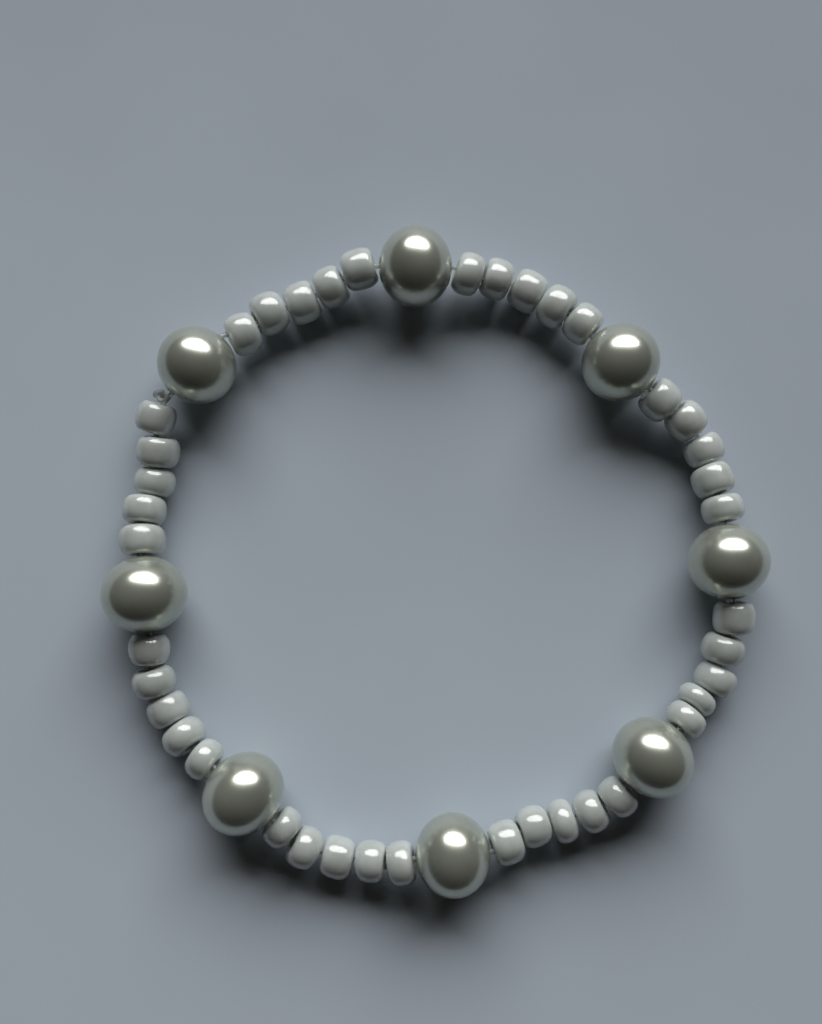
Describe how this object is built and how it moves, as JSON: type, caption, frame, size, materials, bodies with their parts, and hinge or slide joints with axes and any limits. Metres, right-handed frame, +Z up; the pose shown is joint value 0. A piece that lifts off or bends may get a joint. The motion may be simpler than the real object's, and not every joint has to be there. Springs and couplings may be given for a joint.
{
  "type": "pearl bracelet",
  "caption": "Elastic bracelet of round imitation pearls with runs of short milky glass beads between them, lying flat as a closed loop.",
  "frame": {"origin": "on the surface it lies on, under the middle of its box", "axes": "+Z up through the loop, the way a wrist goes in; pearl_1 lies towards +Y and pearl_3 towards +X"},
  "size_m": [0.0662, 0.0666, 0.0085],
  "materials": {
    "pearl": "glossy pearlescent lacquer over a bead core",
    "glass_bead": "milky pressed glass with a soft lustre",
    "cord": "clear stretch cord"
  },
  "bodies": {
    "root": {"pearl_1": "pearl", "pearl_2": "pearl", "pearl_3": "pearl", "pearl_4": "pearl", "pearl_5": "pearl", "pearl_6": "pearl", "pearl_7": "pearl", "pearl_8": "pearl", "glass_bead_1_1": "glass_bead", "glass_bead_1_2": "glass_bead", "glass_bead_1_3": "glass_bead", "glass_bead_1_4": "glass_bead", "glass_bead_1_5": "glass_bead", "glass_bead_2_1": "glass_bead", "glass_bead_2_2": "glass_bead", "glass_bead_2_3": "glass_bead", "glass_bead_2_4": "glass_bead", "glass_bead_2_5": "glass_bead", "glass_bead_3_1": "glass_bead", "glass_bead_3_2": "glass_bead", "glass_bead_3_3": "glass_bead", "glass_bead_3_4": "glass_bead", "glass_bead_3_5": "glass_bead", "glass_bead_4_1": "glass_bead", "glass_bead_4_2": "glass_bead", "glass_bead_4_3": "glass_bead", "glass_bead_4_4": "glass_bead", "glass_bead_4_5": "glass_bead", "glass_bead_5_1": "glass_bead", "glass_bead_5_2": "glass_bead", "glass_bead_5_3": "glass_bead", "glass_bead_5_4": "glass_bead", "glass_bead_5_5": "glass_bead", "glass_bead_6_1": "glass_bead", "glass_bead_6_2": "glass_bead", "glass_bead_6_3": "glass_bead", "glass_bead_6_4": "glass_bead", "glass_bead_6_5": "glass_bead", "glass_bead_7_1": "glass_bead", "glass_bead_7_2": "glass_bead", "glass_bead_7_3": "glass_bead", "glass_bead_7_4": "glass_bead", "glass_bead_7_5": "glass_bead", "glass_bead_8_1": "glass_bead", "glass_bead_8_2": "glass_bead", "glass_bead_8_3": "glass_bead", "glass_bead_8_4": "glass_bead", "glass_bead_8_5": "glass_bead", "elastic_cord": "cord"}
  },
  "joints": []
}
